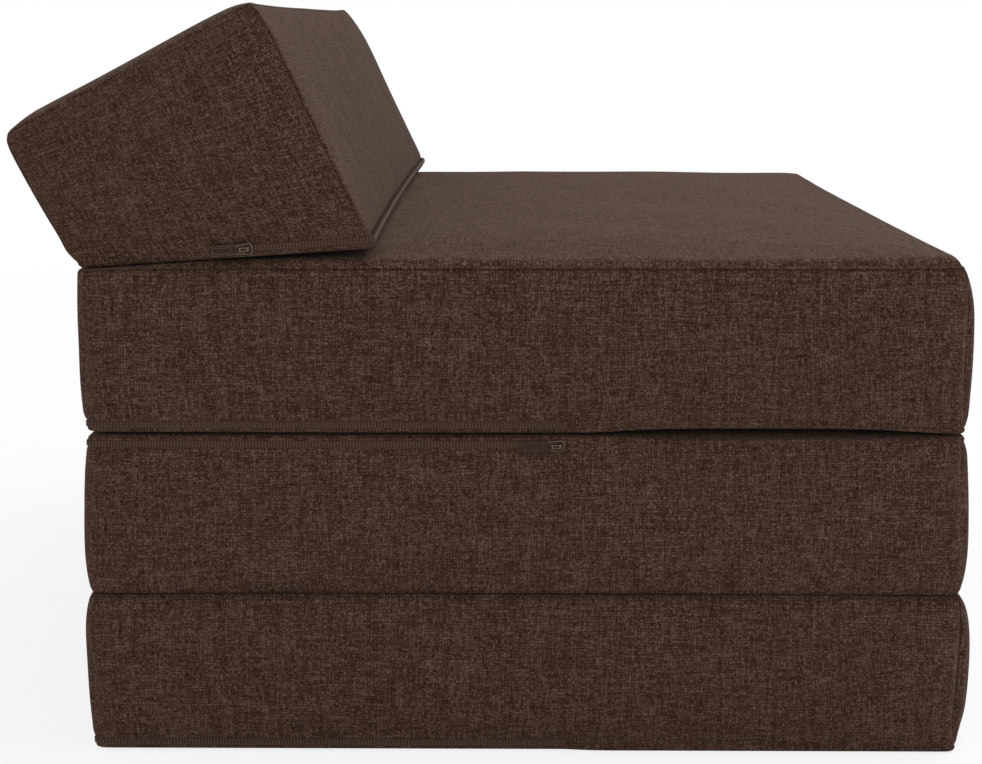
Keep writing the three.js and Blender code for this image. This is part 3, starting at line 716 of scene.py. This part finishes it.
# Caps how far the filling moved each point, rounds the sides out between their seams,
# and adds grooves and ripples
def settleCushion(facts, shape, rest, filled, seed):
    caps, ease, rollRun = shape["caps"], settling["ease"], settling["rollRun"]
    moves = [b - a for a, b in zip(rest, filled)]
    reach = {True: 1e-6, False: 1e-6}
    for f, move in zip(facts, moves):
        reach[f["onHead"]] = max(reach[f["onHead"]], move.length)
    lipShare = min(f["share"] for f in facts if f["onSide"] and f["level"] == lipLevel)
    gap, gapPlace, gapRun = shape["rimGap"]
    crownWaves, crownHeight, crownRun = settling["crown"]
    left, right = shape["softRim"]
    rightFrom, rightRun = settling["rightSide"]
    footRun, sideRun = settling["footRuns"]
    rippleWaves, rippleHeight = settling["ripple"]
    puckerRound, puckerUp, puckerHeight = settling["pucker"]
    places = []
    for f, start, move in zip(facts, rest, moves):
        place = start.copy()
        out = Vector((f["out"].x, f["out"].y, 0))
        towardsEnd = f["out"].x
        end = caps["zipped"] if towardsEnd * shape["zipSide"] > 0 else caps["plain"]
        cap = caps["top"] if f["onHead"] else caps["side"] + (end - caps["side"]) * towardsEnd ** 2
        eased = math.tanh(ease * move.length / reach[f["onHead"]]) / math.tanh(ease)
        depth = 0.0 if f["onHead"] else (1 - f["share"]) * shape["topHeights"][0]
        if not f["onHead"]:
            toCorner = min(1.0, max(f["inX"], f["inY"]) / settling["edgeCalmRun"])
            cap *= shape["edgeCalm"] + (1 - shape["edgeCalm"]) * toCorner
            eased *= min(1.0, depth / shape["calm"])
        if move.length > 1e-6:
            place += move.normalized() * cap * eased
        inner = min(f["inX"], f["inY"])
        if f["onHead"]:
            place.z += shape["roll"] * rolled(f["inX"], rollRun) * rolled(f["inY"], rollRun)
            if caps["top"] > 0:
                wave = noise.noise(place * crownWaves + Vector((seed, 3, 0)))
                place.z += wave * crownHeight * min(1.0, inner / crownRun)
        elif f["onSide"] and f["level"] > lipLevel:
            full = 1 - abs(2 * (f["share"] - lipShare) / (1 - lipShare) - 1) ** 3
            place += out * cap * (1 - eased) * settling["bulge"] * full
        rim = fading(inner, cutting["rimFade"]) ** 2
        height = f["share"] * shape["topHeights"][0]
        if f["level"] < hemLevel:
            place.z += cutting["rimLift"] * rim * (1 - footLevels[f["level"]] / footLevels[hemLevel])
        if gap > 0:
            lifted = math.exp(-((place.x - gapPlace) / gapRun) ** 4)
            place.z += gap * lifted * rim * fading(height, settling["gapRise"]) ** 2
        if not f["onHead"]:
            drawn = (fading(inner, footRun) if f["onFoot"] else fading(height, sideRun)) ** 1.3
            place -= out * shape["softFoot"] * f["plain"] * drawn
        if f["onHead"] or f["onSide"]:
            soft = fading((inner if f["onHead"] else 0) + depth, shape["rimRun"]) ** 2
            atRight = min(1.0, max(0.0, (start.x - rightFrom) / rightRun))
            place -= out * (left + (right - left) * atRight) * soft
            place.z += shape["rimRise"] * soft
        if f["onSide"] and f["level"] == seamLevel:
            place -= out * shape["seamGroove"]
        if inCornerSeam(f, shape):
            place -= out * cutting["cornerGroove"]
        if f["onSide"] and f["level"] > lipLevel and not f["onHead"]:
            ripple = noise.noise(place * rippleWaves + Vector((seed, 0, 0))) * rippleHeight
            spot = Vector((place.x * puckerRound, place.y * puckerRound, seed + place.z * puckerUp))
            place += out * (ripple + noise.noise(spot) * puckerHeight)
        places.append(place)
    return places


def placeCushion(cushion, facts, places, transform):
    for v, place in zip(cushion.data.vertices, places):
        v.co = transform @ place
    cushion.data.update()
    rounding = cushion.modifiers.new("rounding", "SUBSURF")
    rounding.levels = 1
    rounding.render_levels = 1


def makeCushion(name, body, filling, shape, transform, nodeName, ends, seed, press=None):
    pattern, facts, rest, filled = filling
    cushion = addObject(name, pattern.copy())
    cushion.data.name = name
    places = settleCushion(facts, shape, rest, filled, seed)
    if press:
        places = [press(place) for place in places]
    placeCushion(cushion, facts, places, transform)
    # How strongly the painted shade shows in this cushion's seams and corner seams
    for f, mark in zip(facts, cushion.data.attributes["sewn"].data):
        mark.value *= shape["cornerShade"] if f["corner"] else shape["seamShade"]
    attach(cushion, body)
    parts = ("foam", "floor_panel", "sleeping_panel", "front_strip", "back_strip") + ends
    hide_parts(*[f"{nodeName}_{part}" for part in parts])
    print(name, "made")


# The middle section lies upside down, with the seat on top of it and the headrest on the seat
flipped = Matrix.Translation((0, 0, 0.2197)) @ Matrix.Rotation(math.pi, 4, "X")
raised = Matrix.Translation((0, 0, 0.22))
leaning = Matrix.Translation(wedgeCorner) @ Matrix.Rotation(-wedgeTilt, 4, "Y")

seatPrint = {"from": 0.1, "height": 0.1103, "depth": 0.0004, "soft": 0.0012}


# The seat's crown is pressed down where the headrest rests on it
def pressSeat(place):
    low, soft = seatPrint["from"], seatPrint["soft"]
    if place.z < low:
        return place
    plane = seatPrint["height"] - seatPrint["depth"] + (place.x - wedgeX) * math.tan(wedgeTilt)
    place.z = -soft * math.log(math.exp(-(place.z - low) / soft) + math.exp(-(plane - low) / soft)) + low
    return place


# Cuts one pattern, fills it, and keeps only its mesh
def fillPattern(name, shape):
    cushion, facts = cutCushion(name, shape)
    rest, filled = fillCushion(cushion, facts, shape)
    pattern = cushion.data
    bpy.data.objects.remove(cushion)
    print(name, "filled,", len(facts), "vertices")
    return pattern, facts, rest, filled


sectionFilling = fillPattern("sectionPattern", seatShape)
wedgeFilling = fillPattern("wedgePattern", wedgeShape)
sectionEnds = ("left_end_strip", "right_end_strip")
for section, shape, transform, seed, press in (
        ("lower", lowerShape, Matrix(), 11, None), ("middle", middleShape, flipped, 23, None),
        ("seat", seatShape, raised, 37, pressSeat)):
    makeCushion(
        section + "Cushion", section + "_section", sectionFilling, shape, transform, section, sectionEnds,
        seed, press)
makeCushion(
    "headrestCushion", "headrest", wedgeFilling, wedgeShape, leaning, "headrest",
    ("thick_end_strip", "thin_end_strip"), 51)

zipRun = {
    "pitch": 0.0021,
    "height": 0.0065,
    "toothLength": 0.0025,
    "toothWidth": 0.00085,
    "toothDepth": 0.0009,
    "proud": 0.00035,           # how far the coil's middle stands out from the side
    "lean": 24,
    "rowGap": 0.0017,
    "tape": 3,                  # the tape has a row of faces at each third tooth
}


# Places along the zip: out from the zip's end on one side, round the zipped end, and back on the other
def zipLine(shape):
    low, high = shape["base"]
    middle, half = (low + high) / 2, (high - low) / 2
    r, halfWidth, s = shape["corner"], cutting["halfWidth"], shape["zipSide"]
    straight = abs(middle + s * (half - r) - shape["zipEnd"])
    across = 2 * (halfWidth - r)
    arc = r * math.pi / 2
    total = 2 * straight + 2 * arc + across
    count = int(total / zipRun["pitch"])
    line = []
    for n in range(count + 1):
        t = n * total / count
        if t <= straight:
            place, out = Vector((shape["zipEnd"] + s * t, -halfWidth, 0)), Vector((0, -1, 0))
        elif t <= straight + arc:
            a = (t - straight) / r
            out = Vector((s * math.sin(a), -math.cos(a), 0))
            place = Vector((middle + s * (half - r), -halfWidth + r, 0)) + out * r
        elif t <= straight + arc + across:
            y = -halfWidth + r + t - straight - arc
            bow = cutting["drawIn"] * (1 - (y / halfWidth) ** 2)
            place, out = Vector((middle + s * (half - bow), y, 0)), Vector((s, 0, 0))
        elif t <= straight + 2 * arc + across:
            a = (t - straight - arc - across) / r
            out = Vector((s * math.cos(a), math.sin(a), 0))
            place = Vector((middle + s * (half - r), halfWidth - r, 0)) + out * r
        else:
            x = middle + s * (half - r) - s * (t - straight - 2 * arc - across)
            place, out = Vector((x, halfWidth, 0)), Vector((0, 1, 0))
        line.append((place, out, t))
    return line


def makeZip(name, body, shape, transform, nodeName):
    line = zipLine(shape)
    lift = Vector((0, 0, 1))
    bm = bmesh.new()
    cloth = bm.loops.layers.uv.new("cloth")
    # The tape: heights and depths round its section, swept along the line
    rows = [
        (0.0040, 0.0002), (0.0052, 0.0001), (0.0065, 0.0001), (0.0078, 0.0001), (0.0093, 0.0002),
        (0.0093, 0.0008), (0.0040, 0.0008), (0.0040, 0.0002)]
    columns = line[::zipRun["tape"]] + [line[-1]]
    bmesh.ops.create_grid(bm, x_segments=len(columns) - 1, y_segments=len(rows) - 1, size=0.5)
    for v in bm.verts:
        i = round((v.co.x + 0.5) * (len(columns) - 1))
        j = round((v.co.y + 0.5) * (len(rows) - 1))
        place, out, t = columns[i]
        v.co = place + lift * rows[j][0] - out * rows[j][1]
        for loop in v.link_loops:
            loop[cloth].uv = (t, rows[j][0])
    bmesh.ops.remove_doubles(bm, verts=bm.verts[:], dist=1e-5)
    bmesh.ops.holes_fill(bm, edges=[e for e in bm.edges if e.is_boundary], sides=0)
    bmesh.ops.recalc_face_normals(bm, faces=bm.faces[:])
    # The coil: one tooth, copied in two leaning rows
    tooth = bmesh.new()
    bmesh.ops.create_uvsphere(tooth, u_segments=6, v_segments=4, radius=0.5)
    size = (zipRun["toothWidth"], zipRun["toothDepth"], zipRun["toothLength"])
    bmesh.ops.scale(tooth, vec=size, verts=tooth.verts)
    for face in tooth.faces:
        face.smooth = True
        face.material_index = 1
    bead = meshFrom(tooth, "bead")
    for place, out, t in line:
        side = lift.cross(out)
        turn = Matrix((side, -out, lift)).transposed().to_4x4()
        for row in (-1, 1):
            spot = place + out * zipRun["proud"] + lift * (zipRun["height"] + row * zipRun["rowGap"] / 2)
            lean = Matrix.Rotation(math.radians(row * zipRun["lean"]), 4, "Y")
            seat = Matrix.Translation(spot) @ turn @ lean
            bead.transform(seat)
            bm.from_mesh(bead)
            bead.transform(seat.inverted())
    bmesh.ops.transform(bm, matrix=transform, verts=bm.verts)
    bpy.data.meshes.remove(bead)
    zipper = addObject(name, meshFrom(bm, name, zipTape, zipTeeth))
    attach(zipper, body)
    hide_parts(nodeName)
    print(name, "made,", len(zipper.data.polygons), "faces")


makeZip("lowerZip", "lower_section", sectionShape, Matrix(), "lower_zip")
makeZip("middleZip", "middle_section", sectionShape, flipped, "middle_zip")
makeZip("seatZip", "seat_section", sectionShape, raised, "seat_zip")
makeZip("headrestZip", "headrest", wedgeShape, leaning, "headrest_zip")

metalEdge = {
    "bevel": 0.0003,
    "sharp": 35,                # edges that turn by more degrees are rounded
    "flat": 2,                  # faces that turn by fewer degrees are joined
}


# The slider and the pull tab, with their edges rounded off and painted lighter as a highlight
def makeMetal(name, nodeName):
    bm = bmesh.new()
    bm.from_mesh(frame["nodes"][nodeName].data)
    bmesh.ops.remove_doubles(bm, verts=bm.verts[:], dist=1e-6)
    bmesh.ops.dissolve_limit(
        bm, angle_limit=math.radians(metalEdge["flat"]), verts=bm.verts[:], edges=bm.edges[:])
    edgeHighlight = bm.faces.layers.float.new("edgeHighlight")
    sharp = [
        e for e in bm.edges
        if e.is_manifold and e.is_convex and e.calc_face_angle() > math.radians(metalEdge["sharp"])]
    made = bmesh.ops.bevel(
        bm, geom=sharp, offset=metalEdge["bevel"], affect="EDGES", segments=2, profile=0.5, material=-1,
        clamp_overlap=True)
    # Painted highlight: the rounded edges are coloured lighter
    for face in made["faces"]:
        face[edgeHighlight] = 1.0
    metal = addObject(name, meshFrom(bm, name, sliderLacquer))
    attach(metal, nodeName)
    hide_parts(nodeName)


for section in ("lower", "middle", "seat", "headrest"):
    makeMetal(section + "Slider", section + "_zip_slider")
    makeMetal(section + "Pull", section + "_zip_pull")
print("sliders and pulls made")

foldStrip = {"width": 0.708, "thickness": 0.001, "columns": 60, "wave": 0.0006}


# A strip of cover fabric from one seam to the next, through a few points of its profile
def makeFold(name, profile, nodes):
    bm = bmesh.new()
    rows, columns = len(profile) - 1, foldStrip["columns"]
    bmesh.ops.create_grid(bm, x_segments=rows, y_segments=columns, size=0.5)
    cloth = bm.loops.layers.uv.new("cloth")
    lengths = [0.0]
    for a, b in zip(profile, profile[1:]):
        lengths.append(lengths[-1] + math.dist(a, b))
    for v in bm.verts:
        i = round((v.co.x + 0.5) * rows)
        y = v.co.y * foldStrip["width"]
        for loop in v.link_loops:
            loop[cloth].uv = (y + 0.4, lengths[i])
        x, z = profile[i]
        v.co = (x + noise.noise(Vector((y * 22, z * 30, 5))) * foldStrip["wave"], y, z)
    for face in bm.faces:
        face.smooth = True
    fold = addObject(name, meshFrom(bm, name, wovenCover))
    wall = fold.modifiers.new("wall", "SOLIDIFY")
    wall.thickness = foldStrip["thickness"]
    wall.offset = 0
    rounding = fold.modifiers.new("rounding", "SUBSURF")
    rounding.levels = 1
    rounding.render_levels = 1
    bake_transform(fold)
    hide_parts(*nodes)


makeFold(
    "leftFold",
    [(-0.2925, 0.1070), (-0.2945, 0.1078), (-0.2958, 0.1090), (-0.2962, 0.10985), (-0.2958, 0.1107),
     (-0.2945, 0.1119), (-0.2925, 0.1127)],
    ("lower_fold_flange", "middle_left_fold_flange"))
makeFold(
    "rightFold",
    [(0.2925, 0.2155), (0.2950, 0.2165), (0.2966, 0.2185), (0.2969, 0.21985), (0.2966, 0.2212),
     (0.2950, 0.2232), (0.2925, 0.2242)],
    ("middle_right_fold_flange", "seat_right_fold_flange"))
makeFold(
    "headrestFold",
    [(-0.2925, 0.3255), (-0.2948, 0.3262), (-0.2966, 0.3274), (-0.2975, 0.3286), (-0.2979, 0.3298),
     (-0.2981, 0.3310)],
    ("seat_left_fold_flange", "headrest_fold_flange"))
print("folds made")

# Floor, light and camera
stageLook = {
    "floor": (0.9, 0.9, 0.9, 1.0),
    "floorWhite": (0.6, 3.0, 0.82, 1.0),    # two distances, and how white the floor is at each
    "world": 0.72,
    "above": 36.5,
    "front": 9.6,
}


def stageFloor():
    bm = bmesh.new()
    bmesh.ops.create_grid(bm, x_segments=8, y_segments=8, size=60)
    material, tree, shader = newMaterial("floorPaper")
    shader.inputs["Base Color"].default_value = stageLook["floor"]
    shader.inputs["Roughness"].default_value = 0.9
    shader.inputs["Specular IOR Level"].default_value = 0.1
    glow = addNode(tree, "ShaderNodeEmission")
    rays = addNode(tree, "ShaderNodeLightPath")
    seen = calc(tree, "MAXIMUM", rays.outputs["Is Camera Ray"], rays.outputs["Is Glossy Ray"])
    blend = addNode(tree, "ShaderNodeMixShader")
    place = addNode(tree, "ShaderNodeTexCoord")
    away = addNode(tree, "ShaderNodeVectorMath", operation="LENGTH")
    plug(tree, place.outputs["Object"], away.inputs[0])
    whiter = mapRange(tree, away.outputs["Value"], *stageLook["floorWhite"])
    plug(tree, calc(tree, "MULTIPLY", seen, whiter), blend.inputs[0])
    plug(tree, shader.outputs[0], blend.inputs[1])
    plug(tree, glow.outputs[0], blend.inputs[2])
    plug(tree, blend.outputs[0], tree.nodes["Material Output"].inputs["Surface"])
    addObject("floor", meshFrom(bm, "floor", material))


def areaLamp(name, place, target, size, power):
    light = bpy.data.lights.new(name, "AREA")
    light.shape = "RECTANGLE"
    light.size, light.size_y = size
    light.energy = power
    lamp = addObject(name, light)
    lamp.location = place
    lamp.rotation_euler = (Vector(target) - Vector(place)).to_track_quat("-Z", "Y").to_euler()


def worldLight():
    world = bpy.data.worlds.new("studio")
    bpy.context.scene.world = world
    world.use_nodes = True
    tree = world.node_tree
    tree.nodes.clear()
    output = addNode(tree, "ShaderNodeOutputWorld")
    background = addNode(tree, "ShaderNodeBackground")
    background.inputs["Color"].default_value = (1, 1, 1, 1)
    rays = addNode(tree, "ShaderNodeLightPath")
    seen = calc(tree, "MAXIMUM", rays.outputs["Is Camera Ray"], rays.outputs["Is Glossy Ray"])
    seen = calc(tree, "MAXIMUM", seen, rays.outputs["Is Transmission Ray"])
    strength = calc(tree, "MULTIPLY_ADD", seen, 1 - stageLook["world"], stageLook["world"])
    plug(tree, strength, background.inputs["Strength"])
    plug(tree, background.outputs[0], output.inputs["Surface"])


stageFloor()
worldLight()
areaLamp("above", (1.0, 0.3, 2.5), (0, 0, 0.3), (2.6, 2.6), stageLook["above"])
areaLamp("front", (0.2, -2.6, 0.78), (0, 0, 0.15), (2.4, 1.6), stageLook["front"])

viewpoint = {
    "place": (-0.0101, -1.73, 0.492),
    "pitch": 7.82,
    "turn": 0.55,
    "lens": 74.8,
    "shift": -0.08,
}
lens = bpy.data.cameras.new("camera")
lens.lens = viewpoint["lens"]
lens.sensor_width = 36
lens.shift_y = viewpoint["shift"]
camera = addObject("camera", lens)
camera.location = viewpoint["place"]
camera.rotation_euler = (math.radians(90 - viewpoint["pitch"]), 0, math.radians(viewpoint["turn"]))
bpy.context.scene.camera = camera
bpy.context.scene.view_settings.view_transform = "Standard"
